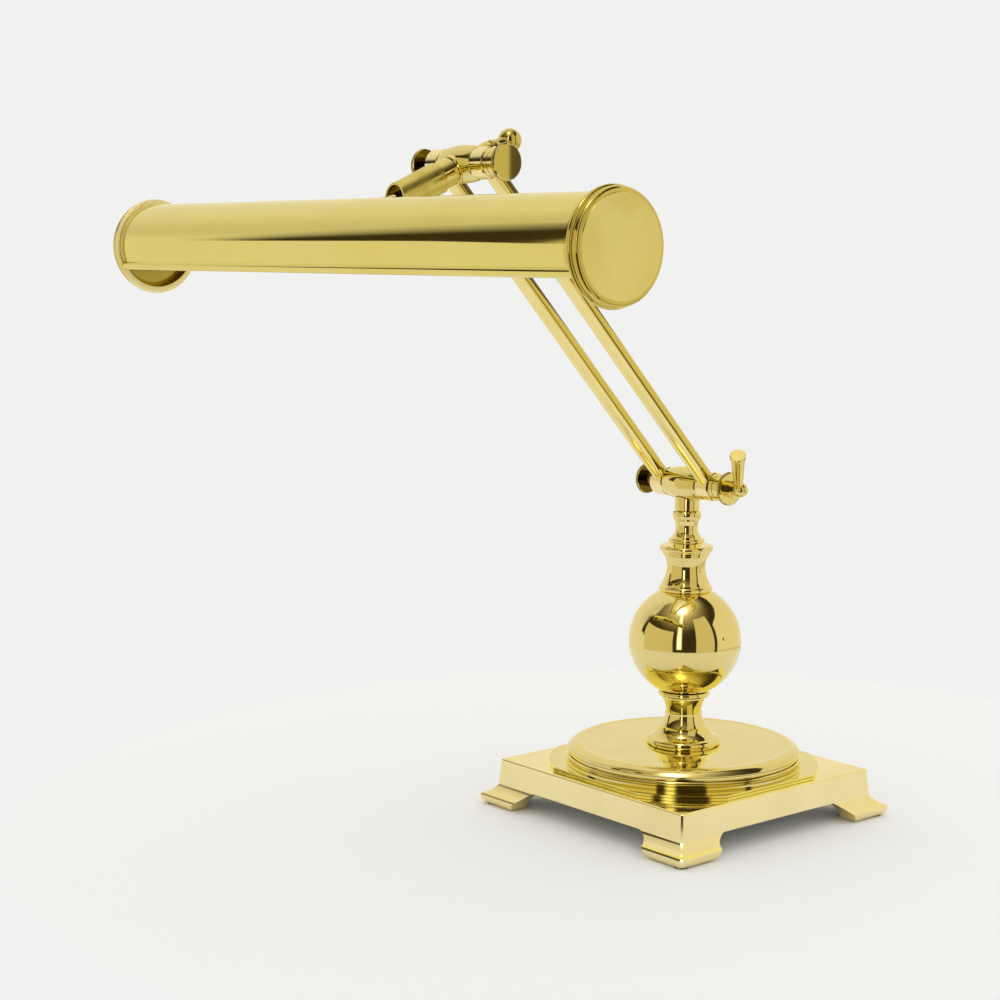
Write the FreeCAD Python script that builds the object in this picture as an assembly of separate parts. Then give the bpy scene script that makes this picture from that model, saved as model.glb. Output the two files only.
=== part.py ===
# Piano lamp: a polished brass desk lamp with a footed square base, a turned pillar, a pair of swing
# arms and a half-open tubular shade. Millimetres, +Z up, the shade along X, the arms leaning towards
# -Y (the player's side). The pieces are worked out round the pillar's axis; at the end they all move
# so that the origin lies under the middle of the whole lamp, on the surface that it stands on.
import FreeCAD, Part
import math
import os

V = FreeCAD.Vector
X_AXIS = V(1, 0, 0)
Y_AXIS = V(0, 1, 0)
Z_AXIS = V(0, 0, 1)
ORIGIN = V(0, 0, 0)

# ---------------------------------------------------------------- fits and clearances
RUN = 0.05          # radial running clearance of a pin or spindle in its bore
SEAT = 0.02         # radial clearance of a brazed or screwed-in piece in its seat
FACE_GAP = 0.2      # gap between two faces that turn against each other
THROUGH = 1.0       # how far a cutting tool runs past the face that it cuts

# ---------------------------------------------------------------- base: sizes
BASE_SIDE = 160.0           # square top of the base, edge to edge
BASE_HEIGHT = 28.8          # table to the square top
SKIRT_BOTTOM = 13.1         # table to the skirt's lower edge between the feet
SKIRT_DRAFT = 1.2           # how far the skirt leans out, top to bottom, on each side
SKIRT_WALL = 4.0
TOP_WALL = 5.0
TOP_EDGE_ROUND = 1.3        # rounded edge between the square top and the skirt
CORNER_FLAT = 0.7           # how far the four upright corners are eased
FOOT_SPREAD = 9.4           # how far a toe stands out from the edge of the top
TOE_HEIGHT = 6.6            # table to the top of the toe's rounded lip
TOE_DRAFT = 0.7
TOE_TUCK = 2.0              # how far the toe curves back in, down at the table
FOOT_HOLLOW = 3.0           # how deep the foot's hollow sweep bows in from a straight slope
FOOT_LENGTH = 28.4          # toe to inner end of a foot, at the table
FOOT_RISE_RUN = 15.0        # how far the foot's inner end leans outwards, going up to the skirt
PAD_THICKNESS = 0.8
PAD_RADIUS = 4.4
COVER_THICKNESS = 1.2
COVER_RISE = 0.6            # skirt's lower edge to the underside of the cover
COVER_PLAY = 0.4            # gap round the cover's edge
COVER_SCREW_RADIUS = 2.0
COVER_SCREW_LENGTH = 7.0
COVER_SCREW_INSET = 14.0    # screw's distance from the edge of the top, both ways
COVER_BOSS_RADIUS = 5.0
BALLAST_RADIUS = 71.0
BALLAST_CLEARANCE = 0.6     # left between the ballast and the cover
BALLAST_POCKET_RADIUS = 12.0
BALLAST_WEB = 2.7           # iron left over the pocket for the tie rod's nut
CORD_BUSH_GAP = 0.25        # bush to the bottom cover, and to the ceiling of the base
CORD_BUSH_WALL = 1.0
CORD_BUSH_RIM = 0.8         # how far the bush's two rims stand past the hole's edge
CORD_BUSH_RIM_WIDTH = 1.4
CORD_CHANNEL_WIDTH = 9.0    # channel in the ballast from the cord bush to the tie rod

# ---------------------------------------------------------------- plinth on the base: sizes
CLIPPED_RADIUS = 82.6       # round plate with four sides cut off
CLIPPED_SIDE = 148.0        # distance between two of its cut sides
CLIPPED_THICKNESS = 2.3
PLINTH_RADIUS = 72.6        # widest ring of the round plinth
PLINTH_TOP_RADIUS = 62.2    # its flat polished top
PLINTH_HEIGHT = 11.4
PLINTH_WALL = 3.0
PLINTH_HUB_RADIUS = 14.0

# ---------------------------------------------------------------- pillar: sizes
PILLAR_FLANGE_RADIUS = 22.7
PILLAR_FOOT_HEIGHT = 32.7   # plinth to the ball's seat
BALL_RADIUS = 34.4
BALL_WALL = 1.6
BALL_LOW_SEAT = 14.0        # radius of the seat under the ball
BALL_HIGH_SEAT = 15.0       # radius of the seat on top of it
NECK_HEIGHT = 28.0          # ball's upper seat to the top of the neck's flange
NECK_FLANGE_RADIUS = 15.9
SWIVEL_HEIGHT = 21.0        # neck's flange to the top of the swivel collar
SWIVEL_RING_RADIUS = 8.6
ROD_RADIUS = 4.95           # hollow tie rod that clamps the pillar to the base
ROD_BORE = 3.4
ROD_IN_COLLAR = 6.0         # how far the rod screws into the swivel collar
NUT_ACROSS_FLATS = 17.0
NUT_RECESS = 0.6            # how far that nut stays inside its pocket
SPIGOT_RADIUS = 4.2         # spigot of the knuckle, turning in the swivel collar
SPIGOT_LENGTH = 11.5
SPIGOT_GROOVE_DEPTH = 0.9
SPIGOT_GROOVE_WIDTH = 3.0
STOP_SCREW_RADIUS = 1.2
STOP_SCREW_DROP = 2.4       # top of the collar to the stop screw's axis

# ---------------------------------------------------------------- joints and arms: sizes
POST_RADIUS = 7.5
POST_HEIGHT = 6.9           # visible part of the post under the lower barrel
POST_NECK_RADIUS = 6.4      # core that joins the post to the barrel
POST_GROOVE = 0.5           # shadow groove between the saddle of the post and the barrel
BARREL_END_RADIUS = 8.7
BARREL_MIDDLE_RADIUS = 10.3
BARREL_LENGTH = 27.8
COLLAR_RADIUS = 8.7
COLLAR_WIDTH = 10.4
COLLAR_EDGE = 0.5
ARM_RADIUS = 5.0
ARM_WALL = 1.0
ARM_LENGTH = 254.5          # lower barrel axis to upper barrel axis
ARM_LEAN = 43.07            # degrees from upright
ARM_SOCKET_DEPTH = 3.0
PIVOT_RADIUS = 3.0
PIVOT_GRIP = 6.9            # how far a pivot screw reaches into the barrel
WHEEL_RADIUS = 9.8          # knurled wheel of a clamp screw
BUTTON_RADIUS = 9.2         # knurled head of a plain pivot screw
WHEEL_WIDTH = 2.5
WHEEL_CHAMFER = 0.45
WHEEL_OFFSET = 33.8         # barrel's middle to the wheel's inner face
WHEEL_BOSS_RADIUS = 8.0
BUTTON_BOSS_RADIUS = 5.0
LEVER_HUB_RADIUS = 5.2
LEVER_HUB_LENGTH = 3.4
LEVER_NECK_RADIUS = 3.6
LEVER_KNOB_RADIUS = 4.4     # ball end of the hub
LEVER_KNOB_OFFSET = 7.8     # wheel's outer face to the middle of that ball
LEVER_OFFSET = 6.2          # wheel's outer face to the foot of the lever's axis
LEVER_SOCKET = 2.6          # how deep the lever's root sits in the hub
LEVER_LENGTH = 31.5         # foot of its axis to the lever's flat end
LEVER_ROOT_RADIUS = 2.8
LEVER_TAPER_RADIUS = 4.2
LEVER_TIP_RADIUS = 4.8
LEVER_TIP_HEIGHT = 2.6
LEVER_LEAN = 27.0           # degrees that the lever leans out from the wheel
LEVER_TURN = 35.5           # degrees that it is turned forward from upright

# ---------------------------------------------------------------- stem between the head and the shade: sizes
STEM_DROP = 23.5            # degrees that the stem points below the horizontal
BOSS_RADIUS = 8.0           # boss on the front of the head
BOSS_REACH = 10.4           # barrel's axis to the boss's end
TAIL_RADIUS = 5.7           # boss on the back of the head
TAIL_REACH = 19.4
STEM_COLLAR_RADIUS = 7.7
STEM_COLLAR_LENGTH = 9.4
SLEEVE_RADIUS = 8.7
SLEEVE_WALL = 1.1
SLEEVE_LENGTH = 31.4        # along its axis, to its upright-cut open mouth
NIPPLE_RADIUS = 3.6
NIPPLE_BORE = 2.4
LOCK_NUT_ACROSS = 9.6
NIPPLE_INSIDE = 10.5        # how far the nipple runs on inside the shade's wall
BALL_NUT_RADIUS = 6.6
BALL_NUT_OFFSET = 34.5      # barrel's axis to the middle of the ball nut
BALL_NUT_ROOT_RADIUS = 5.5
BALL_NUT_NECK_RADIUS = 3.9
BALL_NUT_THREAD = 11.0

# ---------------------------------------------------------------- shade: sizes
SHADE_LENGTH = 411.6        # over both end caps
SHADE_RADIUS = 24.7
SHADE_WALL = 0.8
SHADE_AHEAD = 75.4          # shade's axis in front of the head's axis
SHADE_BELOW = 44.6          # and below it
LIP_RADIUS = 2.6            # lip along both long edges, the sheet rolled round a wire
LIP_ANGLE = 62.4            # degrees from straight down to the middle of each lip
CAP_RADIUS = 27.7
CAP_FRONT_RADIUS = 26.8     # front one of its two rolled rims
CAP_FACE_RADIUS = 23.9      # flat face inside that rim
CAP_DEPTH = 7.4
CAP_RECESS_RADIUS = 23.6
SKIRT_CLIP_LENGTH = 2.4     # cap's thin skirt over the end of the shade
SKIRT_CLIP_WALL = 1.1
SKIRT_CLIP_EASE = 8.0       # degrees that the skirt stops short of each lip
SADDLE_RADIUS = 5.0         # shaped washer between the sleeve's nipple and the shade
SADDLE_LENGTH = 4.5

# ---------------------------------------------------------------- lamps in the shade: sizes
BRACKET_WIDTH = 15.0
BRACKET_THICKNESS = 1.5
BRACKET_HALF_LENGTH = 24.0
BRACKET_STANDOFF = 5.0      # shade's wall to the bracket, along the nipple
LAMP_RISE = 5.0             # lamps' axis above the shade's axis
HOLDER_RADIUS = 10.8
HOLDER_LENGTH = 31.0
HOLDER_WALL = 1.9
HOLDER_FLOOR = 9.0
HOLDER_STUD_RADIUS = 3.9
CAP_THREAD_RADIUS = 6.8     # lamp's screw cap
CAP_THREAD_LENGTH = 19.0
LAMP_RADIUS = 12.5
LAMP_GLASS_LENGTH = 92.0
LAMP_GLASS_WALL = 0.8
LAMP_NECK_LENGTH = 12.0
HEX_NUT_ACROSS = 11.0
HEX_NUT_HEIGHT = 3.0

# ---------------------------------------------------------------- places worked out from the sizes
HALF = BASE_SIDE / 2
CLIPPED_Z = BASE_HEIGHT
PLINTH_Z = CLIPPED_Z + CLIPPED_THICKNESS
PILLAR_Z = PLINTH_Z + PLINTH_HEIGHT
BALL_BOTTOM_Z = PILLAR_Z + PILLAR_FOOT_HEIGHT
BALL_Z = BALL_BOTTOM_Z + math.sqrt(BALL_RADIUS ** 2 - BALL_LOW_SEAT ** 2)
NECK_Z = BALL_Z + math.sqrt(BALL_RADIUS ** 2 - BALL_HIGH_SEAT ** 2)
SWIVEL_Z = NECK_Z + NECK_HEIGHT
SWIVEL_TOP_Z = SWIVEL_Z + SWIVEL_HEIGHT
POST_Z = SWIVEL_TOP_Z + FACE_GAP
ELBOW = V(0, 0, POST_Z + POST_HEIGHT + BARREL_MIDDLE_RADIUS - 0.6)
ARM_DIRECTION = V(0, -math.sin(math.radians(ARM_LEAN)), math.cos(math.radians(ARM_LEAN)))
HEAD = ELBOW + ARM_DIRECTION * ARM_LENGTH
SHADE = HEAD + V(0, -SHADE_AHEAD, -SHADE_BELOW)
STEM = V(0, -math.cos(math.radians(STEM_DROP)), -math.sin(math.radians(STEM_DROP)))
STEM_UP = V(0, -math.sin(math.radians(STEM_DROP)), math.cos(math.radians(STEM_DROP)))
BARREL_HALF = BARREL_LENGTH / 2
COLLAR_INNER = BARREL_HALF + FACE_GAP
COLLAR_MIDDLE = COLLAR_INNER + COLLAR_WIDTH / 2
COLLAR_OUTER = COLLAR_INNER + COLLAR_WIDTH
COVER_Z = SKIRT_BOTTOM + COVER_RISE
BALLAST_THICKNESS = BASE_HEIGHT - TOP_WALL - COVER_Z - COVER_THICKNESS - BALLAST_CLEARANCE
BALLAST_POCKET_DEPTH = BALLAST_THICKNESS - BALLAST_WEB
NUT_HEIGHT = BALLAST_POCKET_DEPTH - NUT_RECESS
INNER_HALF = HALF - SKIRT_WALL
SCREW_PLACE = HALF - COVER_SCREW_INSET
SHADE_HALF = SHADE_LENGTH / 2 - CAP_DEPTH
COLLAR_S = BOSS_REACH + FACE_GAP
SLEEVE_S = COLLAR_S + STEM_COLLAR_LENGTH
SHADE_S = (SHADE - HEAD).dot(STEM)
SHADE_OFF = (SHADE - HEAD).dot(STEM_UP)
WALL_S = SHADE_S - math.sqrt(SHADE_RADIUS ** 2 - SHADE_OFF ** 2)
INNER_WALL_S = SHADE_S - math.sqrt((SHADE_RADIUS - SHADE_WALL) ** 2 - SHADE_OFF ** 2)
NIPPLE_END_S = INNER_WALL_S + NIPPLE_INSIDE
BRACKET_S = INNER_WALL_S + BRACKET_STANDOFF
LAMP_AXIS = SHADE + V(0, 0, LAMP_RISE)


# ---------------------------------------------------------------- drawing helpers
def outline(start, *steps):
    """Closed face in the XZ plane: each step is an end point, or a middle and an end of an arc."""
    edges = []
    here = V(start[0], 0, start[1])
    first = here
    for step in steps:
        if isinstance(step[0], tuple):
            middle = V(step[0][0], 0, step[0][1])
            end = V(step[1][0], 0, step[1][1])
            edges.append(Part.Arc(here, middle, end).toShape())
        else:
            end = V(step[0], 0, step[1])
            edges.append(Part.LineSegment(here, end).toShape())
        here = end
    if (here - first).Length > 1e-6:
        edges.append(Part.LineSegment(here, first).toShape())
    return Part.Face(Part.Wire(edges))


def turned(start, *steps):
    """Solid of revolution about +Z from an outline of (radius, height) points."""
    return outline(start, *steps).revolve(ORIGIN, Z_AXIS, 360)


def along_x(shape, centre=ORIGIN, side=1):
    """Lays a shape that was made along +Z along +X, or along -X for side -1."""
    turn = FreeCAD.Rotation(Y_AXIS, 90 * side)
    return placed(shape, centre, turn)


def along_stem(shape):
    """Lays a shape that was made along +Z on the stem's axis, from the head's axis."""
    return placed(shape, HEAD, FreeCAD.Rotation(X_AXIS, 90 + STEM_DROP))


def along_arm(shape, centre):
    """Lays a shape that was made along +Z along the arms."""
    return placed(shape, centre, FreeCAD.Rotation(X_AXIS, ARM_LEAN))


def placed(shape, centre, rotation=FreeCAD.Rotation()):
    copy = shape.copy()
    copy.Placement = FreeCAD.Placement(centre, rotation).multiply(shape.Placement)
    return copy


def rod(radius, low, high, x=0.0, y=0.0):
    """Upright cylinder between two heights."""
    return Part.makeCylinder(radius, high - low, V(x, y, low))


def hexagon(across, low, high):
    """Upright hexagonal prism."""
    corner = across / math.sqrt(3)
    points = [V(corner * math.cos(math.radians(60 * i)), corner * math.sin(math.radians(60 * i)), low)
              for i in range(7)]
    return Part.Face(Part.makePolygon(points)).extrude(V(0, 0, high - low))


def box_between(low, high):
    return Part.makeBox(high[0] - low[0], high[1] - low[1], high[2] - low[2], V(*low))


parts = {}

# ---------------------------------------------------------------- base casting
# The same side outline is run both ways and the overlap is kept, so its corners are mitred.
def base_outline(grow, inset):
    def across(value):
        return value * grow - inset
    top = BASE_HEIGHT
    toe = HALF + FOOT_SPREAD
    knee = HALF + SKIRT_DRAFT
    right = [(across(HALF - TOP_EDGE_ROUND), top),
             (across(HALF - 0.29 * TOP_EDGE_ROUND), top - 0.29 * TOP_EDGE_ROUND),
             (across(HALF), top - TOP_EDGE_ROUND),
             (across(knee), SKIRT_BOTTOM - 0.6),
             (across((knee + toe) / 2 - FOOT_HOLLOW * 0.45), (SKIRT_BOTTOM + TOE_HEIGHT) / 2 - 0.6),
             (across(toe - TOE_DRAFT), TOE_HEIGHT),
             (across(toe), TOE_HEIGHT - 1.0),
             (across(toe - TOE_TUCK * 0.22), TOE_HEIGHT * 0.45),
             (across(toe - TOE_TUCK) - inset, PAD_THICKNESS)]
    left = [(-x, z) for x, z in right]
    return outline(right[0], (right[1], right[2]), right[3], (right[4], right[5]), right[6], (right[7], right[8]),
                   left[8], (left[7], left[6]), left[5], (left[4], left[3]), left[2], (left[1], left[0]))


REACH = HALF + FOOT_SPREAD + 5
side_bar = base_outline(1, 0).extrude(V(0, 2 * REACH, 0))
side_bar.translate(V(0, -REACH, 0))
corner_bar = base_outline(math.sqrt(2), CORNER_FLAT).extrude(V(0, 4 * REACH, 0))
corner_bar.translate(V(0, -2 * REACH, 0))
base = side_bar.common(side_bar.rotated(ORIGIN, Z_AXIS, 90))
base = base.common(corner_bar.rotated(ORIGIN, Z_AXIS, 45)).common(corner_bar.rotated(ORIGIN, Z_AXIS, -45))

# Arch between two feet, cut right through the base both ways.
foot_foot = HALF + FOOT_SPREAD - FOOT_LENGTH
foot_top = foot_foot - FOOT_RISE_RUN + 1.0
arch = outline((-foot_top, SKIRT_BOTTOM),
               (foot_top, SKIRT_BOTTOM),
               ((foot_foot - 5.2, SKIRT_BOTTOM * 0.54), (foot_foot, 0)),
               (foot_foot, -THROUGH),
               (-foot_foot, -THROUGH),
               (-foot_foot, 0),
               ((-foot_foot + 5.2, SKIRT_BOTTOM * 0.54), (-foot_top, SKIRT_BOTTOM)))
arch = arch.extrude(V(0, 2 * REACH, 0))
arch.translate(V(0, -REACH, 0))
base = base.cut(arch).cut(arch.rotated(ORIGIN, Z_AXIS, 90))
CEILING_Z = BASE_HEIGHT - TOP_WALL
base = base.cut(box_between((-INNER_HALF, -INNER_HALF, -THROUGH), (INNER_HALF, INNER_HALF, CEILING_Z)))
COVER_TOP_Z = COVER_Z + COVER_THICKNESS
corners = [(sx * SCREW_PLACE, sy * SCREW_PLACE) for sx in (-1, 1) for sy in (-1, 1)]
for x, y in corners:
    base = base.fuse(rod(COVER_BOSS_RADIUS, COVER_TOP_Z, CEILING_Z + 0.5, x, y))
for x, y in corners:
    base = base.cut(rod(COVER_SCREW_RADIUS + SEAT, 0, COVER_TOP_Z + COVER_SCREW_LENGTH, x, y))
ROD_HOLE = ROD_RADIUS + 0.25
base = base.cut(rod(ROD_HOLE, 0, BASE_HEIGHT + THROUGH))
CORD_Z = (COVER_TOP_Z + CEILING_Z) / 2
CORD_RIM_RADIUS = (CEILING_Z - COVER_TOP_Z) / 2 - CORD_BUSH_GAP
CORD_HOLE_RADIUS = CORD_RIM_RADIUS - CORD_BUSH_RIM
CORD_BORE_RADIUS = CORD_HOLE_RADIUS - CORD_BUSH_WALL
cord_hole = Part.makeCylinder(CORD_HOLE_RADIUS, 30, V(0, INNER_HALF - 5, CORD_Z), Y_AXIS)
base = base.cut(cord_hole)
parts["base_casting"] = base.removeSplitter()

# Bush in the rear of the skirt.
bush_middle = Part.makeCylinder(CORD_HOLE_RADIUS - SEAT, SKIRT_WALL + 4, V(0, INNER_HALF - 1.0, CORD_Z), Y_AXIS)
bush_inner = Part.makeCylinder(CORD_RIM_RADIUS, CORD_BUSH_RIM_WIDTH,
                               V(0, INNER_HALF - CORD_BUSH_RIM_WIDTH, CORD_Z), Y_AXIS)
bush_outer = Part.makeCylinder(CORD_RIM_RADIUS, SKIRT_WALL, V(0, HALF - 1.0, CORD_Z), Y_AXIS)
bush = bush_middle.fuse(bush_inner).fuse(bush_outer).cut(parts["base_casting"])
bush = bush.common(Part.makeCylinder(CORD_RIM_RADIUS + 1, CORD_BUSH_RIM_WIDTH + SKIRT_WALL + 2.4,
                                     V(0, INNER_HALF - CORD_BUSH_RIM_WIDTH, CORD_Z), Y_AXIS))
bush = bush.cut(Part.makeCylinder(CORD_BORE_RADIUS, 40, V(0, INNER_HALF - 20, CORD_Z), Y_AXIS))
parts["cord_bush"] = max(bush.Solids, key=lambda solid: solid.Volume)

# Ballast under the top, clamped by the tie rod, with a channel for the wiring.
BALLAST_Z = CEILING_Z - BALLAST_THICKNESS
ballast = rod(BALLAST_RADIUS, BALLAST_Z, CEILING_Z)
ballast = ballast.cut(rod(ROD_HOLE, 0, BASE_HEIGHT))
ballast = ballast.cut(rod(BALLAST_POCKET_RADIUS, 0, BALLAST_Z + BALLAST_POCKET_DEPTH))
ballast = ballast.cut(box_between((-CORD_CHANNEL_WIDTH / 2, 0, BALLAST_Z - THROUGH),
                                  (CORD_CHANNEL_WIDTH / 2, HALF, BALLAST_Z + BALLAST_POCKET_DEPTH)))
parts["ballast"] = ballast

# Bottom cover and its four screws.
cover_half = INNER_HALF - COVER_PLAY
cover = box_between((-cover_half, -cover_half, COVER_Z), (cover_half, cover_half, COVER_TOP_Z))
for x, y in corners:
    cover = cover.cut(rod(COVER_SCREW_RADIUS + 0.15, 0, BASE_HEIGHT, x, y))
parts["bottom_cover"] = cover
HEAD_RADIUS = COVER_SCREW_RADIUS * 1.9
HEAD_HEIGHT = 2.0
for number, (x, y) in enumerate(corners, 1):
    screw = turned((0, COVER_Z - HEAD_HEIGHT),
                   (HEAD_RADIUS - 0.8, COVER_Z - HEAD_HEIGHT),
                   ((HEAD_RADIUS - 0.23, COVER_Z - HEAD_HEIGHT + 0.23), (HEAD_RADIUS, COVER_Z - HEAD_HEIGHT + 0.8)),
                   (HEAD_RADIUS, COVER_Z),
                   (COVER_SCREW_RADIUS, COVER_Z),
                   (COVER_SCREW_RADIUS, COVER_Z + COVER_SCREW_LENGTH - 0.5),
                   (COVER_SCREW_RADIUS - 0.5, COVER_Z + COVER_SCREW_LENGTH),
                   (0, COVER_Z + COVER_SCREW_LENGTH))
    slot = box_between((-HEAD_RADIUS - 1, -0.5, COVER_Z - HEAD_HEIGHT - 1), (HEAD_RADIUS + 1, 0.5, COVER_Z - 1.1))
    screw = screw.cut(slot)
    screw.translate(V(x, y, 0))
    parts["cover_screw_%d" % number] = screw

# Felt pads under the toes.
PAD_PLACE = (INNER_HALF + HALF + FOOT_SPREAD) / 2
pad_places = [(sx * PAD_PLACE, sy * PAD_PLACE) for sx in (-1, 1) for sy in (-1, 1)]
for number, (x, y) in enumerate(pad_places, 1):
    parts["foot_pad_%d" % number] = rod(PAD_RADIUS, 0, PAD_THICKNESS, x, y)

# ---------------------------------------------------------------- plates on the base
clipped = rod(CLIPPED_RADIUS, CLIPPED_Z, PLINTH_Z)
clipped = clipped.common(box_between((-CLIPPED_SIDE / 2, -CLIPPED_SIDE / 2, CLIPPED_Z - 1),
                                     (CLIPPED_SIDE / 2, CLIPPED_SIDE / 2, PLINTH_Z + 1)))
parts["clipped_plate"] = clipped.cut(rod(ROD_HOLE, 0, PILLAR_Z))

R = PLINTH_RADIUS
Z = PLINTH_Z
plinth = turned((PLINTH_HUB_RADIUS, Z),
                (PLINTH_HUB_RADIUS, Z + PLINTH_HEIGHT - PLINTH_WALL),
                (PLINTH_TOP_RADIUS - 4.0, Z + PLINTH_HEIGHT - PLINTH_WALL),
                (R - 6.5, Z + 5.4),
                (R - 6.5, Z),
                (R, Z),
                (R, Z + 2.5),
                (R - 1.6, Z + 2.6),
                (R - 1.6, Z + 2.9),
                ((R - 0.6, Z + 4.1), (R - 1.6, Z + 5.2)),
                (R - 3.0, Z + 5.3),
                (R - 3.0, Z + 6.2),
                (R - 1.3, Z + 6.3),
                (R - 1.3, Z + 8.2),
                ((R - 3.6, Z + PLINTH_HEIGHT - 1.0), (PLINTH_TOP_RADIUS, Z + PLINTH_HEIGHT)),
                (ROD_HOLE, Z + PLINTH_HEIGHT),
                (ROD_HOLE, Z))
parts["plinth"] = plinth

# ---------------------------------------------------------------- pillar
Z = PILLAR_Z
R = PILLAR_FLANGE_RADIUS
foot = turned((ROD_HOLE, Z),
              (R - 1.3, Z),
              (R - 1.3, Z + 0.5),
              (R - 0.3, Z + 0.7),
              ((R + 0.1, Z + 2.2), (R - 1.6, Z + 4.3)),
              (R - 3.0, Z + 4.6),
              ((17.1, Z + 7.0), (15.3, Z + 10.0)),
              (15.3, Z + 10.9),
              (14.2, Z + 11.1),
              ((12.1, Z + 15.2), (11.0, Z + 18.3)),
              (11.5, Z + 18.5),
              (11.5, Z + 19.4),
              (10.8, Z + 19.6),
              ((11.4, Z + 23.5), (13.4, Z + 28.7)),
              (14.0, Z + 28.9),
              (14.0, Z + 29.6),
              (15.0, Z + 29.8),
              ((15.9, Z + 31.2), (15.2, Z + PILLAR_FOOT_HEIGHT)),
              (ROD_HOLE, Z + PILLAR_FOOT_HEIGHT))
parts["pillar_foot"] = foot

ball = Part.makeSphere(BALL_RADIUS, V(0, 0, BALL_Z)).cut(Part.makeSphere(BALL_RADIUS - BALL_WALL, V(0, 0, BALL_Z)))
parts["pillar_ball"] = ball.common(box_between((-40, -40, BALL_BOTTOM_Z), (40, 40, NECK_Z)))

Z = NECK_Z
neck = turned((ROD_HOLE, Z),
              (15.6, Z),
              ((16.4, Z + 1.5), (15.7, Z + 3.0)),
              (14.9, Z + 3.2),
              (14.9, Z + 4.2),
              ((12.9, Z + 8.6), (11.7, Z + 14.0)),
              ((12.1, Z + 17.9), (13.2, Z + 21.6)),
              (14.0, Z + 21.8),
              (14.0, Z + 22.9),
              (14.7, Z + 23.1),
              (14.7, Z + 24.2),
              (15.5, Z + 24.5),
              (NECK_FLANGE_RADIUS, Z + 25.2),
              ((NECK_FLANGE_RADIUS + 0.4, Z + 26.4), (NECK_FLANGE_RADIUS - 0.3, Z + NECK_HEIGHT - 0.3)),
              (NECK_FLANGE_RADIUS - 0.8, Z + NECK_HEIGHT),
              (ROD_HOLE, Z + NECK_HEIGHT))
parts["pillar_neck"] = neck

# Collar that the knuckle turns in; the tie rod screws into it from below.
Z = SWIVEL_Z
SPIGOT_BORE = SPIGOT_RADIUS + RUN
SPIGOT_FLOOR_Z = SWIVEL_TOP_Z - SPIGOT_LENGTH - FACE_GAP
swivel = turned((ROD_RADIUS + SEAT, Z),
                (9.6, Z),
                (9.6, Z + 1.4),
                (10.2, Z + 1.6),
                ((11.0, Z + 2.9), (10.2, Z + 4.2)),
                (8.9, Z + 4.4),
                (8.9, Z + 5.6),
                (8.3, Z + 5.8),
                ((6.9, Z + 9.2), (6.8, Z + 12.6)),
                (7.3, Z + 15.2),
                (7.7, Z + 15.4),
                (7.7, Z + 16.3),
                (8.1, Z + 16.5),
                ((SWIVEL_RING_RADIUS, Z + 18.2), (SWIVEL_RING_RADIUS - 0.1, Z + 20.2)),
                (SWIVEL_RING_RADIUS - 0.7, Z + SWIVEL_HEIGHT),
                (SPIGOT_BORE, Z + SWIVEL_HEIGHT),
                (SPIGOT_BORE, SPIGOT_FLOOR_Z),
                (ROD_BORE, SPIGOT_FLOOR_Z),
                (ROD_BORE, Z + ROD_IN_COLLAR + 0.5),
                (ROD_RADIUS + SEAT, Z + ROD_IN_COLLAR + 0.5))
STOP_Z = SWIVEL_TOP_Z - STOP_SCREW_DROP
stop_inner = SPIGOT_RADIUS - SPIGOT_GROOVE_DEPTH + 0.3
stop_outer = SWIVEL_RING_RADIUS - 0.5
stop_screw = Part.makeCylinder(STOP_SCREW_RADIUS, stop_outer - stop_inner, V(0, stop_inner, STOP_Z), Y_AXIS)
swivel = swivel.cut(Part.makeCylinder(STOP_SCREW_RADIUS + SEAT, 12, V(0, 2, STOP_Z), Y_AXIS))
parts["swivel_collar"] = swivel
stop_slot = box_between((-3, stop_outer - 0.7, STOP_Z - 0.25), (3, stop_outer + 1, STOP_Z + 0.25))
parts["stop_screw"] = stop_screw.cut(stop_slot)

# Hollow tie rod and its nut under the ballast.
ROD_BOTTOM_Z = BALLAST_Z + 0.3
NUT_TOP_Z = BALLAST_Z + BALLAST_POCKET_DEPTH
parts["tie_rod"] = rod(ROD_RADIUS, ROD_BOTTOM_Z, SWIVEL_Z + ROD_IN_COLLAR).cut(rod(ROD_BORE, 0, SWIVEL_TOP_Z))
nut = hexagon(NUT_ACROSS_FLATS, NUT_TOP_Z - NUT_HEIGHT, NUT_TOP_Z)
parts["tie_rod_nut"] = nut.cut(rod(ROD_RADIUS + SEAT, 0, BASE_HEIGHT))


# ---------------------------------------------------------------- the two barrels
def barrel(grow=0.0):
    """Egg-shaped barrel along X, centred on the origin."""
    end = BARREL_END_RADIUS + grow
    edge = 0.45
    shape = turned((0, -BARREL_HALF),
                   (end - edge, -BARREL_HALF),
                   (end, -BARREL_HALF + edge),
                   ((BARREL_MIDDLE_RADIUS + grow, 0), (end, BARREL_HALF - edge)),
                   (end - edge, BARREL_HALF),
                   (0, BARREL_HALF))
    return along_x(shape)


PIVOT_BORE = PIVOT_RADIUS + RUN
cross_bore = along_x(rod(PIVOT_BORE, -BARREL_HALF - THROUGH, BARREL_HALF + THROUGH))

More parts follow.
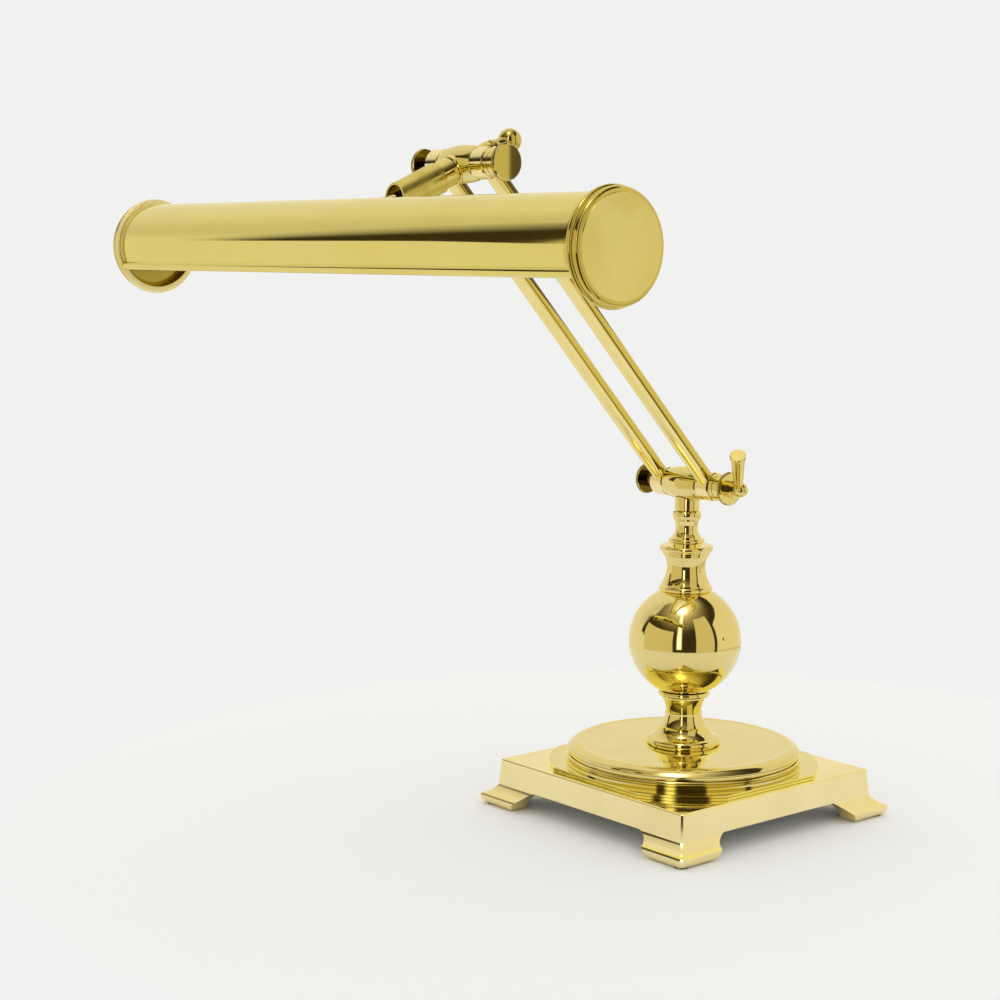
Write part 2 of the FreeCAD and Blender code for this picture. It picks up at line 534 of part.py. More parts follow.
# Knuckle: the lower barrel with its post and the spigot that turns in the collar.
post = rod(POST_RADIUS, POST_Z + 0.5, ELBOW.z)
post = post.fuse(turned((0, POST_Z), (POST_RADIUS - 0.5, POST_Z), (POST_RADIUS, POST_Z + 0.5), (0, POST_Z + 0.5)))
post = post.cut(placed(barrel(POST_GROOVE), ELBOW))
knuckle = post.fuse(rod(POST_NECK_RADIUS, POST_Z + 1, ELBOW.z)).fuse(placed(barrel(), ELBOW))
spigot = rod(SPIGOT_RADIUS, POST_Z - FACE_GAP - SPIGOT_LENGTH, POST_Z + 1)
groove_z = STOP_Z - SPIGOT_GROOVE_WIDTH / 2
groove = rod(SPIGOT_RADIUS + 0.03, groove_z, groove_z + SPIGOT_GROOVE_WIDTH)
groove = groove.cut(rod(SPIGOT_RADIUS - SPIGOT_GROOVE_DEPTH, 0, ELBOW.z))
knuckle = knuckle.fuse(spigot.cut(groove))
knuckle = knuckle.cut(placed(cross_bore, ELBOW))
knuckle = knuckle.cut(rod(2.0, 0, ELBOW.z))
parts["knuckle"] = knuckle.removeSplitter()

# ---------------------------------------------------------------- arms
ARM_SPIGOT = ARM_RADIUS - ARM_WALL - SEAT
for side, name in ((1, "right"), (-1, "left")):
    centre_x = V(side * COLLAR_MIDDLE, 0, 0)
    tube = rod(ARM_RADIUS, 0, ARM_LENGTH).cut(rod(ARM_RADIUS - ARM_WALL, -1, ARM_LENGTH + 1))
    for height in (0, ARM_LENGTH):
        tube = tube.cut(Part.makeCylinder(COLLAR_RADIUS, 20, V(-10, 0, height), X_AXIS))
    parts["arm_%s" % name] = along_arm(max(tube.Solids, key=lambda solid: solid.Volume), ELBOW + centre_x)
    bore = PIVOT_BORE if side > 0 else PIVOT_RADIUS + SEAT
    for place, label, way in ((ELBOW, "elbow", 1), (HEAD, "head", -1)):
        half = COLLAR_WIDTH / 2
        ring = along_x(turned((0, -half),
                              (COLLAR_RADIUS - COLLAR_EDGE, -half),
                              (COLLAR_RADIUS, -half + COLLAR_EDGE),
                              (COLLAR_RADIUS, half - COLLAR_EDGE),
                              (COLLAR_RADIUS - COLLAR_EDGE, half),
                              (0, half)))
        low, high = sorted((way * 4.0, way * (COLLAR_RADIUS + ARM_SOCKET_DEPTH)))
        ring = ring.fuse(rod(ARM_SPIGOT, low, high))
        ring = ring.cut(along_x(rod(bore, -10, 10)))
        parts["%s_collar_%s" % (label, name)] = along_arm(ring, place + centre_x)


# ---------------------------------------------------------------- pivot screws
def wheel_screw(side, wheel_radius, boss_radius, hub):
    """Pivot screw along +Z: pivot, boss, flat wheel and, on the clamp, the hub of its lever."""
    boss = COLLAR_OUTER + FACE_GAP
    inner = BARREL_HALF - PIVOT_GRIP
    outer = WHEEL_OFFSET + WHEEL_WIDTH
    c = WHEEL_CHAMFER
    steps = [(PIVOT_RADIUS - 0.4, inner),
             (PIVOT_RADIUS, inner + 0.4),
             (PIVOT_RADIUS, boss),
             (boss_radius - 0.4, boss),
             (boss_radius, boss + 0.4),
             (boss_radius, boss + 3.0),
             (boss_radius - 0.5, boss + 3.1),
             (boss_radius - 0.5, boss + 3.5),
             (boss_radius, boss + 3.6),
             (boss_radius, WHEEL_OFFSET),
             (wheel_radius - c, WHEEL_OFFSET),
             (wheel_radius, WHEEL_OFFSET + c),
             (wheel_radius, outer - c),
             (wheel_radius - c, outer)]
    if hub:
        r = LEVER_KNOB_RADIUS
        middle = outer + LEVER_KNOB_OFFSET
        start = middle - math.sqrt(r ** 2 - LEVER_NECK_RADIUS ** 2)
        steps += [(LEVER_HUB_RADIUS, outer),
                  (LEVER_HUB_RADIUS, outer + LEVER_HUB_LENGTH - 0.5),
                  (LEVER_HUB_RADIUS - 0.5, outer + LEVER_HUB_LENGTH),
                  (LEVER_NECK_RADIUS, outer + LEVER_HUB_LENGTH),
                  (LEVER_NECK_RADIUS, start),
                  ((r, middle), (0, middle + r))]
    else:
        steps += [(0, outer)]
    return along_x(turned((0, inner), *steps), side=side)


clamp = wheel_screw(1, WHEEL_RADIUS, WHEEL_BOSS_RADIUS, True)
LEVER_X = WHEEL_OFFSET + WHEEL_WIDTH + LEVER_OFFSET
lever_root = LEVER_KNOB_RADIUS - LEVER_SOCKET
lever_turn = FreeCAD.Rotation(X_AXIS, LEVER_TURN).multiply(FreeCAD.Rotation(Y_AXIS, LEVER_LEAN))
lever_socket = placed(rod(LEVER_ROOT_RADIUS + SEAT, lever_root, 10), V(LEVER_X, 0, 0), lever_turn)
parts["arm_clamp_screw"] = placed(clamp.cut(lever_socket), ELBOW)
lever = turned((0, lever_root),
               (LEVER_ROOT_RADIUS, lever_root),
               (LEVER_ROOT_RADIUS, LEVER_KNOB_RADIUS + 0.8),
               (LEVER_TAPER_RADIUS, LEVER_LENGTH - LEVER_TIP_HEIGHT - 0.5),
               (LEVER_TIP_RADIUS - 0.3, LEVER_LENGTH - LEVER_TIP_HEIGHT),
               (LEVER_TIP_RADIUS, LEVER_LENGTH - LEVER_TIP_HEIGHT + 0.3),
               (LEVER_TIP_RADIUS, LEVER_LENGTH - 0.4),
               (LEVER_TIP_RADIUS - 0.4, LEVER_LENGTH),
               (0, LEVER_LENGTH))
parts["arm_clamp_lever"] = placed(lever, ELBOW + V(LEVER_X, 0, 0), lever_turn)
parts["elbow_button"] = placed(wheel_screw(-1, BUTTON_RADIUS, BUTTON_BOSS_RADIUS, False), ELBOW)
parts["head_clamp_wheel"] = placed(wheel_screw(1, WHEEL_RADIUS, WHEEL_BOSS_RADIUS, False), HEAD)
parts["head_button"] = placed(wheel_screw(-1, BUTTON_RADIUS, BUTTON_BOSS_RADIUS, False), HEAD)

# ---------------------------------------------------------------- head
STEM_SPIGOT_RADIUS = 4.4
STEM_SPIGOT_END = -7.0
THREAD_RADIUS = 3.0
head = along_stem(turned((0, -TAIL_REACH),
                         (TAIL_RADIUS - 0.5, -TAIL_REACH),
                         (TAIL_RADIUS, -TAIL_REACH + 0.5),
                         (TAIL_RADIUS, -TAIL_REACH + 3.2),
                         (TAIL_RADIUS - 0.6, -TAIL_REACH + 3.4),
                         (TAIL_RADIUS - 0.6, -TAIL_REACH + 4.0),
                         (TAIL_RADIUS, -TAIL_REACH + 4.2),
                         (TAIL_RADIUS, 0),
                         (BOSS_RADIUS, 0),
                         (BOSS_RADIUS, BOSS_REACH - 0.4),
                         (BOSS_RADIUS - 0.4, BOSS_REACH),
                         (0, BOSS_REACH)))
head = head.fuse(placed(barrel(), HEAD))
head = head.cut(placed(cross_bore, HEAD))
head = head.cut(along_stem(rod(STEM_SPIGOT_RADIUS + RUN, STEM_SPIGOT_END - 0.8, BOSS_REACH + THROUGH)))
head = head.cut(along_stem(rod(THREAD_RADIUS + RUN, -TAIL_REACH - THROUGH, 0)))
parts["head_body"] = head.removeSplitter()

tail = -TAIL_REACH - FACE_GAP
ball_start = -BALL_NUT_OFFSET + math.sqrt(BALL_NUT_RADIUS ** 2 - BALL_NUT_NECK_RADIUS ** 2)
ball_nut = turned((0, tail + BALL_NUT_THREAD),
                  (THREAD_RADIUS, tail + BALL_NUT_THREAD),
                  (THREAD_RADIUS, tail),
                  (BALL_NUT_ROOT_RADIUS - 0.4, tail),
                  (BALL_NUT_ROOT_RADIUS, tail - 0.4),
                  (BALL_NUT_ROOT_RADIUS, tail - 2.2),
                  ((BALL_NUT_NECK_RADIUS + 0.5, tail - 5.6), (BALL_NUT_NECK_RADIUS, ball_start)),
                  ((BALL_NUT_RADIUS, -BALL_NUT_OFFSET), (0, -BALL_NUT_OFFSET - BALL_NUT_RADIUS)))
parts["ball_nut"] = along_stem(ball_nut)

# ---------------------------------------------------------------- stem
SLEEVE_BORE = SLEEVE_RADIUS - SLEEVE_WALL
PLUG_LENGTH = 20.0
sleeve_end = SLEEVE_S + SLEEVE_LENGTH
NIPPLE_START = SLEEVE_S - 3.0
collar = turned((0, STEM_SPIGOT_END),
                (STEM_SPIGOT_RADIUS, STEM_SPIGOT_END),
                (STEM_SPIGOT_RADIUS, COLLAR_S),
                (STEM_COLLAR_RADIUS - 0.4, COLLAR_S),
                (STEM_COLLAR_RADIUS, COLLAR_S + 0.4),
                (STEM_COLLAR_RADIUS, SLEEVE_S),
                (SLEEVE_BORE - SEAT, SLEEVE_S),
                (SLEEVE_BORE - SEAT, SLEEVE_S + PLUG_LENGTH),
                (0, SLEEVE_S + PLUG_LENGTH))
collar = collar.cut(rod(NIPPLE_RADIUS + SEAT, NIPPLE_START, sleeve_end))
collar = collar.cut(rod(2.0, STEM_SPIGOT_END + 3, sleeve_end))
parts["stem_collar"] = along_stem(collar)
sleeve = turned((SLEEVE_BORE, SLEEVE_S),
                (SLEEVE_RADIUS - 0.3, SLEEVE_S),
                (SLEEVE_RADIUS, SLEEVE_S + 0.3),
                (SLEEVE_RADIUS, sleeve_end + 10),
                (SLEEVE_BORE, sleeve_end + 10))
mouth_y = (HEAD + STEM * sleeve_end).y
beyond_mouth = box_between((-20, mouth_y - 40, HEAD.z - 60), (20, mouth_y, HEAD.z))
parts["stem_sleeve"] = along_stem(sleeve).cut(beyond_mouth)
nipple = rod(NIPPLE_RADIUS, NIPPLE_START, NIPPLE_END_S).cut(rod(NIPPLE_BORE, 0, NIPPLE_END_S + 1))
parts["stem_nipple"] = along_stem(nipple)
SADDLE_S = WALL_S - SADDLE_LENGTH
lock_nut = hexagon(LOCK_NUT_ACROSS, SADDLE_S - HEX_NUT_HEIGHT, SADDLE_S).cut(rod(NIPPLE_RADIUS + SEAT, 0, 99))
parts["stem_lock_nut"] = along_stem(lock_nut)

# ---------------------------------------------------------------- shade
# The section is drawn square to X and run along it.
def shade_disc(radius, centre=ORIGIN):
    return Part.Face(Part.Wire(Part.makeCircle(radius, centre, X_AXIS)))


lip_reach = SHADE_RADIUS - 0.55
lip_centres = [V(0, side * lip_reach * math.sin(math.radians(LIP_ANGLE)),
                 -lip_reach * math.cos(math.radians(LIP_ANGLE))) for side in (-1, 1)]
section = shade_disc(SHADE_RADIUS).cut(shade_disc(SHADE_RADIUS - SHADE_WALL))
mouth = [ORIGIN] + [V(0, 60 * math.sin(math.radians(a)), -60 * math.cos(math.radians(a)))
                    for a in (-LIP_ANGLE, -LIP_ANGLE / 2, 0, LIP_ANGLE / 2, LIP_ANGLE)] + [ORIGIN]
section = section.cut(Part.Face(Part.makePolygon(mouth)))
shell = section.extrude(V(2 * SHADE_HALF, 0, 0))
for centre in lip_centres:
    shell = shell.fuse(shade_disc(LIP_RADIUS, centre).extrude(V(2 * SHADE_HALF, 0, 0)))
shell = placed(shell, SHADE + V(-SHADE_HALF, 0, 0))
nipple_hole = along_stem(rod(NIPPLE_RADIUS + 0.1, WALL_S - 12, INNER_WALL_S + 8))
shell = shell.cut(nipple_hole)
parts["shade_shell"] = shell.removeSplitter()

full_tube = Part.makeCylinder(SHADE_RADIUS, 60, SHADE - V(30, 0, 0), X_AXIS)
inner_tube = Part.makeCylinder(SHADE_RADIUS - SHADE_WALL, 60, SHADE - V(30, 0, 0), X_AXIS)
nipple_clear = rod(NIPPLE_RADIUS + SEAT, 0, 99)
saddle = along_stem(rod(SADDLE_RADIUS, SADDLE_S, WALL_S + 8).cut(nipple_clear)).cut(full_tube)
parts["shade_saddle"] = max(saddle.Solids, key=lambda solid: solid.Volume)
inside = along_stem(rod(SADDLE_RADIUS, WALL_S - 6, BRACKET_S).cut(nipple_clear)).common(inner_tube)
parts["inner_saddle"] = max(inside.Solids, key=lambda solid: solid.Volume)

# End caps: two rolled rims outside, stepped rings inside, a thin clip over the end of the shell.
for side, name in ((1, "right"), (-1, "left")):
    face = CAP_DEPTH
    front = CAP_FRONT_RADIUS
    cap = turned((0, face),
                 (CAP_FACE_RADIUS, face),
                 (CAP_FACE_RADIUS + 0.2, face - 0.4),
                 (CAP_FACE_RADIUS + 0.6, face - 0.4),
                 ((front - 0.6, face - 1.0), (front, face - 2.4)),
                 ((front - 0.1, face - 3.3), (front - 0.7, face - 3.9)),
                 (front - 0.7, face - 4.3),
                 ((CAP_RADIUS, face - 5.8), (front - 0.7, face - 7.2)),
                 (front - 0.9, 0),
                 (CAP_RECESS_RADIUS, 0),
                 (CAP_RECESS_RADIUS, face - 3.6),
                 (CAP_RECESS_RADIUS - 1.0, face - 3.6),
                 (CAP_RECESS_RADIUS - 1.0, face - 2.9),
                 (CAP_RECESS_RADIUS - 2.2, face - 2.9),
                 (CAP_RECESS_RADIUS - 2.2, face - 2.0),
                 (0, face - 2.0))
    clip = rod(SHADE_RADIUS + SKIRT_CLIP_WALL, -SKIRT_CLIP_LENGTH, 0.3).cut(rod(SHADE_RADIUS, -9, 9))
    cap = along_x(cap.fuse(clip), SHADE + V(side * SHADE_HALF, 0, 0), side)
    wide = LIP_ANGLE + SKIRT_CLIP_EASE
    notch = [V(0, 60 * math.sin(math.radians(a)), -60 * math.cos(math.radians(a)))
             for a in (-wide, -wide / 2, 0, wide / 2, wide)]
    notch = Part.Face(Part.makePolygon([ORIGIN] + notch + [ORIGIN])).extrude(V(side * 20, 0, 0))
    notch.translate(SHADE + V(side * (SHADE_HALF - 20), 0, 0))
    parts["end_cap_%s" % name] = cap.cut(notch).removeSplitter()

# ---------------------------------------------------------------- lamps and their holders
def lamp_place(shape, side):
    return along_x(shape, LAMP_AXIS, side)


lamp_y = (LAMP_AXIS - HEAD).dot(STEM_UP)
lamp_s = (LAMP_AXIS - HEAD).dot(STEM)
low_y = lamp_y - BRACKET_WIDTH / 2
strip = box_between((-BRACKET_HALF_LENGTH, low_y, BRACKET_S),
                    (BRACKET_HALF_LENGTH, SADDLE_RADIUS, BRACKET_S + BRACKET_THICKNESS))
for side in (-1, 1):
    low_x, high_x = sorted((side * (BRACKET_HALF_LENGTH - BRACKET_THICKNESS), side * BRACKET_HALF_LENGTH))
    strip = strip.fuse(box_between((low_x, low_y, BRACKET_S),
                                   (high_x, low_y + BRACKET_WIDTH, lamp_s + BRACKET_WIDTH / 2)))
strip = strip.cut(nipple_clear)
bracket = along_stem(strip)
for side in (-1, 1):
    bracket = bracket.cut(lamp_place(rod(HOLDER_STUD_RADIUS + SEAT, 10, 40), side))
parts["lamp_bracket"] = bracket.removeSplitter()
nut_s = BRACKET_S + BRACKET_THICKNESS
parts["bracket_nut"] = along_stem(hexagon(HEX_NUT_ACROSS, nut_s, nut_s + HEX_NUT_HEIGHT).cut(nipple_clear))

for side, name in ((1, "right"), (-1, "left")):
    start = BRACKET_HALF_LENGTH
    mouth_x = start + HOLDER_LENGTH
    holder = turned((0, start - BRACKET_THICKNESS - HEX_NUT_HEIGHT - 1.0),
                    (HOLDER_STUD_RADIUS, start - BRACKET_THICKNESS - HEX_NUT_HEIGHT - 1.0),
                    (HOLDER_STUD_RADIUS, start),
                    (HOLDER_RADIUS - 2.5, start),
                    (HOLDER_RADIUS, start + 2.5),
                    (HOLDER_RADIUS, mouth_x - 0.6),
                    (HOLDER_RADIUS - 0.6, mouth_x),
                    (CAP_THREAD_RADIUS + SEAT, mouth_x),
                    (CAP_THREAD_RADIUS + SEAT, start + HOLDER_FLOOR),
                    (0, start + HOLDER_FLOOR))
    parts["lamp_holder_%s" % name] = lamp_place(holder, side)
    inner_face = start - BRACKET_THICKNESS
    holder_nut = hexagon(HEX_NUT_ACROSS, inner_face - HEX_NUT_HEIGHT, inner_face)
    holder_nut = holder_nut.cut(rod(HOLDER_STUD_RADIUS + SEAT, 0, 99))
    parts["holder_nut_%s" % name] = lamp_place(holder_nut, side)
    cap_start = mouth_x - CAP_THREAD_LENGTH
    thread = turned((0, cap_start - 2.5),
                    (2.5, cap_start - 2.5),
                    (4.0, cap_start - 0.5),
                    (CAP_THREAD_RADIUS, cap_start + 1.5),
                    (CAP_THREAD_RADIUS, mouth_x),
                    (0, mouth_x))
    parts["lamp_cap_%s" % name] = lamp_place(thread, side)
    neck_x = mouth_x + LAMP_NECK_LENGTH
    end_x = mouth_x + LAMP_GLASS_LENGTH
    w = LAMP_GLASS_WALL
    r = LAMP_RADIUS
    k = r * (1 - math.sqrt(0.5))
    q = (r - w) * math.sqrt(0.5)
    glass = turned((0, mouth_x),
                   (CAP_THREAD_RADIUS, mouth_x),
                   (CAP_THREAD_RADIUS + 0.6, mouth_x + 3.0),
                   (r, neck_x),
                   (r, end_x - r),
                   ((r - k, end_x - k), (0, end_x)),
                   (0, end_x - w),
                   ((q, end_x - r + q), (r - w, end_x - r)),
                   (r - w, neck_x + 0.3),
                   (CAP_THREAD_RADIUS - 0.4, mouth_x + 3.0),
                   (0, mouth_x + 3.0))
    parts["lamp_glass_%s" % name] = lamp_place(glass, side)

# ---------------------------------------------------------------- one STEP file for each piece
LAMP_FRONT = SHADE.y - CAP_RADIUS
LAMP_BACK = HALF + FOOT_SPREAD
FRAME_SHIFT = V(0, -(LAMP_FRONT + LAMP_BACK) / 2, 0)
os.makedirs("parts", exist_ok=True)
for name, shape in parts.items():
    assert shape.isValid(), name
    assert len(shape.Solids) == 1, name
    solid = shape.Solids[0]
    solid.translate(FRAME_SHIFT)
    solid.exportStep("parts/%s.step" % name)
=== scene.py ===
import bpy
import bmesh
import math
from mathutils import Matrix, Vector


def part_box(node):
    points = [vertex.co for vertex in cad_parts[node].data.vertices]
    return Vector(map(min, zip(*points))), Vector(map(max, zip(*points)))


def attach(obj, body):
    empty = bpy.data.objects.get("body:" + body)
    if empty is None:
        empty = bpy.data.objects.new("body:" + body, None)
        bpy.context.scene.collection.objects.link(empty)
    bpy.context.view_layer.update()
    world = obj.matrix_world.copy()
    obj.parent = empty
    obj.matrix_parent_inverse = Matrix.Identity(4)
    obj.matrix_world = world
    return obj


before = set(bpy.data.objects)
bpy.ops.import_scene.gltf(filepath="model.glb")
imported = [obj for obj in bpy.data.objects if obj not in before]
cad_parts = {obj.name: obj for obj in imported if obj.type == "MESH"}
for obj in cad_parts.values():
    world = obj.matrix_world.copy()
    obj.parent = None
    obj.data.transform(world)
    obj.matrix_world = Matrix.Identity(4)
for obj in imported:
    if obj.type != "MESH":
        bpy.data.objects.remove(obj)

scene = bpy.context.scene
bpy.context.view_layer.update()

# ------------------------------------------------------------------ viewpoint
# A 70 mm lens stands a little over a metre away, in front of the lamp's right end and level with
# the shade, and looks slightly down.
rod_low, rod_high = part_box("tie_rod")
pillar_place = Vector((0, (rod_low[1] + rod_high[1]) / 2, 0))
camera_place = pillar_place + Vector((0.83915, -0.84206, 0.34209))
azimuth, pitch, roll = (math.radians(angle) for angle in (50.40, 7.201, 0.284))
level_ahead = Vector((-math.sin(azimuth), math.cos(azimuth), 0))
level_right = Vector((math.cos(azimuth), math.sin(azimuth), 0))
ahead = level_ahead * math.cos(pitch) - Vector((0, 0, math.sin(pitch)))
upright = Vector((0, 0, math.cos(pitch))) + level_ahead * math.sin(pitch)
right = level_right * math.cos(roll) + upright * math.sin(roll)
up = upright * math.cos(roll) - level_right * math.sin(roll)
camera_data = bpy.data.cameras.new("camera")
camera_data.lens = 70.55
camera_data.sensor_width = 36.0
camera_data.clip_start = 0.01
camera = bpy.data.objects.new("camera", camera_data)
camera_turn = Matrix((right, up, -ahead)).transposed().to_4x4()
camera.matrix_world = Matrix.Translation(camera_place) @ camera_turn
scene.collection.objects.link(camera)
scene.camera = camera
scene.view_settings.view_transform = "Standard"

# ------------------------------------------------------------------ studio
# A pale room lights matt things evenly. What polished metal mirrors of it is drawn by bearing and
# height, in degrees: pale walls, and behind the camera an unlit end with two soft boxes, a lit
# strip and one lamp.
world = bpy.data.worlds.new("studio")
scene.world = world
world.use_nodes = True
studio = world.node_tree
studio.nodes.clear()
SMOOTH = {"interpolation_type": "SMOOTHSTEP"}
COLOUR = {"data_type": "RGBA"}


def add(tree, kind, *values, **named):
    """Adds a shader node. Values go to its inputs in order or by the input's name, and other names
    are the node's own settings. A node or a socket is linked, anything else is set."""
    node = tree.nodes.new("ShaderNode" + kind)
    # The settings come first, because they decide which inputs and outputs are in use.
    for name in [name for name in named if name not in node.inputs]:
        setattr(node, name, named.pop(name))
    in_use = [socket for socket in node.inputs if socket.enabled]
    for socket, value in [*zip(in_use, values), *((node.inputs[name], named[name]) for name in named)]:
        if isinstance(value, bpy.types.Node):
            value = next(output for output in value.outputs if output.enabled)
        if isinstance(value, bpy.types.NodeSocket):
            tree.links.new(value, socket)
        else:
            socket.default_value = value
    return node


def linear(hex_colour):
    """sRGB hex to the linear RGBA that Blender's sockets take."""
    channels = [int(hex_colour[i:i + 2], 16) / 255 for i in (1, 3, 5)]
    return [c / 12.92 if c <= 0.04045 else ((c + 0.055) / 1.055) ** 2.4 for c in channels] + [1.0]


look = add(studio, "TexCoord").outputs["Generated"]
along = add(studio, "SeparateXYZ", look).outputs
height = add(studio, "Math", along[2], operation="ARCSINE")
height = add(studio, "Math", height, operation="DEGREES")
bearing = add(studio, "Math", along[1], along[0], operation="ARCTAN2")
bearing = add(studio, "Math", bearing, operation="DEGREES")


def patch(bearings, heights, soft):
    """1 inside a patch of the room, 0 outside it, with edges that fade over soft degrees each way."""
    inside = 1.0
    for angle, (low, high) in ((bearing, bearings), (height, heights)):
        for edge, outer, inner in ((low, 0.0, 1.0), (high, 1.0, 0.0)):
            side = add(studio, "MapRange", angle, edge - soft, edge + soft, outer, inner, **SMOOTH)
            inside = add(studio, "Math", inside, side, operation="MINIMUM")
    return inside


# The lamp hangs high, in front of the object and a little to its right.
LAMP_DIRECTION = (0.148, -0.290, 0.946)
to_lamp = add(studio, "VectorMath", look, LAMP_DIRECTION, operation="DOT_PRODUCT")
off_lamp = add(studio, "Math", add(studio, "Math", to_lamp, operation="ARCCOSINE"), operation="DEGREES")

# The unlit end: its left edge leans one way and then the other, and softens as it rises. Its right
# edge runs off over the side wall.
left_edge = add(studio, "Math", add(studio, "MapRange", height, 30, 40, -149.5, -138.5, **SMOOTH),
                add(studio, "MapRange", height, 44, 64, 0.0, -17.0, **SMOOTH), operation="ADD")
left_softness = add(studio, "MapRange", height, 8, 28, 1.5, 8.0, **SMOOTH)
past_left = add(studio, "Math", add(studio, "Math", bearing, left_edge, operation="SUBTRACT"),
                left_softness, operation="DIVIDE")
right_edge = add(studio, "MapRange", height, 30, 58, 25.0, 105.0, **SMOOTH)
past_right = add(studio, "Math", bearing, right_edge, operation="SUBTRACT")
unlit = add(studio, "Math", add(studio, "MapRange", past_left, -1, 1, **SMOOTH),
            add(studio, "MapRange", past_right, -2, 2, 1.0, 0.0, **SMOOTH), operation="MULTIPLY")

# A pale sill at its foot on the left, the lit strip in its middle, and a fade under the ceiling
# take some of it away.
sill_top = add(studio, "MapRange", bearing, -144, -138.5, 7.5, 4.0, **SMOOTH)
over_sill = add(studio, "Math", height, sill_top, operation="SUBTRACT")
sill = add(studio, "Math", add(studio, "MapRange", bearing, -136, -134, 1.0, 0.0, **SMOOTH),
           add(studio, "MapRange", over_sill, -0.5, 0.5, 1.0, 0.0, **SMOOTH), operation="MULTIPLY")
strip = patch((-61, -52), (-9, 66), 2.5)
darkness = unlit
for pale_part in (sill, strip):
    darkness = add(studio, "Math", darkness, pale_part, operation="SUBTRACT")
below_ceiling = add(studio, "MapRange", height, 60, 84, 1.0, 0.15, **SMOOTH)
darkness = add(studio, "Math", darkness, below_ceiling, operation="MULTIPLY")

# The left wall is dusky beside it, and a faint line runs along the foot of the right wall.
dusk = add(studio, "MapRange", bearing, -178, -152, 0.0, 0.18, **SMOOTH)
for share in (add(studio, "MapRange", height, 8, 20, **SMOOTH),
              add(studio, "MapRange", bearing, -150, -140, 1.0, 0.0, **SMOOTH)):
    dusk = add(studio, "Math", dusk, share, operation="MULTIPLY")
foot_line = add(studio, "Math", patch((24, 150), (-13.2, -12.4), 0.4), 0.25, operation="MULTIPLY")
for dark_part in (0.0, dusk, foot_line):
    darkness = add(studio, "Math", darkness, dark_part, operation="MAXIMUM")

# Cream walls, deeper low down on the right, and a shadow that is pale near the lamp.
side_wall = add(studio, "Math", add(studio, "MapRange", bearing, 5, 30, **SMOOTH),
                add(studio, "MapRange", bearing, 150, 175, 1.0, 0.0, **SMOOTH), operation="MULTIPLY")
low_wall = add(studio, "Math", side_wall, add(studio, "MapRange", height, -24, -8, 1.0, 0.0, **SMOOTH),
               operation="MULTIPLY")
near_lamp = add(studio, "MapRange", off_lamp, 8, 52, 1.0, 0.0, **SMOOTH)
shadow = add(studio, "Mix", near_lamp, linear("#3F3724"), linear("#CBBF99"), **COLOUR)

# Two soft boxes stand in the unlit end, from below the floor's line up. The small screen, half pale
# and half dark, stands where the face of the upper clamp wheel mirrors it.
left_box = add(studio, "Math", patch((-139.3, -70), (-95, 25), 0.7),
               add(studio, "Math", 1.0, sill, operation="SUBTRACT"), operation="MULTIPLY")
boxes = add(studio, "Math", left_box, patch((-21.6, 18), (-95, 52), 0.7), operation="MAXIMUM")
screen_half = add(studio, "MapRange", bearing, 39.79, 39.87, **SMOOTH)
screen = add(studio, "Mix", screen_half, linear("#D4CB90"), linear("#61593F"), **COLOUR)
lamp_disc = add(studio, "MapRange", off_lamp, 3, 14, 1.0, 0.0, **SMOOTH)
room = linear("#F3EFDF")
for cover, colour in ((side_wall, linear("#F5EFD6")), (low_wall, linear("#D4C795")), (darkness, shadow),
                      (boxes, linear("#E2D7AD")), (patch((38.3, 41.6), (0.8, 6), 0.08), screen),
                      (lamp_disc, linear("#FFFDF3"))):
    room = add(studio, "Mix", cover, room, colour, **COLOUR)

# The lamp and the strip shine past white. Mirrored twice they are dimmer, and the room is lifted a
# little towards green, since brass seen in brass turns orange.
glow = add(studio, "Math", add(studio, "MapRange", off_lamp, 0, 34, 1.0, 0.0, **SMOOTH), 2.0,
           operation="POWER")
glint = add(studio, "MapRange", off_lamp, 2, 11, 4.0, 0.0, **SMOOTH)
strip_light = add(studio, "Math", strip, add(studio, "MapRange", height, 8, 30, 2.0, 1.0, **SMOOTH),
                  operation="MULTIPLY")
ray = add(studio, "LightPath").outputs
mirrored_twice = add(studio, "MapRange", ray["Ray Depth"], 2, 3, **SMOOTH)
glare = add(studio, "Math", add(studio, "Math", glow, glint, operation="ADD"), strip_light, operation="ADD")
glare = add(studio, "Math", glare, add(studio, "MapRange", mirrored_twice, 0, 1, 1.0, 0.3, **SMOOTH),
            operation="MULTIPLY")
SECOND_MIRROR_LIFT = (1.18, 1.32, 1.0, 1.0)
room = add(studio, "Mix", mirrored_twice, room, SECOND_MIRROR_LIFT, blend_type="MULTIPLY", **COLOUR)

# Matt surfaces meet even light of strength 1, polished ones the drawn room, and the camera and
# whatever lets light through a plain pale wall.
mirrored = add(studio, "Background", room, add(studio, "Math", glare, 1.0, operation="ADD"))
even_light = add(studio, "Background", linear("#FFFFFF"), 1.0)
plain_wall = add(studio, "Background", linear("#F1F1F0"), 1.0)
lit = add(studio, "MixShader", ray["Is Glossy Ray"], even_light, mirrored)
seen = add(studio, "Math", ray["Is Camera Ray"], ray["Is Transmission Ray"], operation="MAXIMUM")
add(studio, "OutputWorld", add(studio, "MixShader", seen, lit, plain_wall))
world.cycles.sampling_method = "NONE"

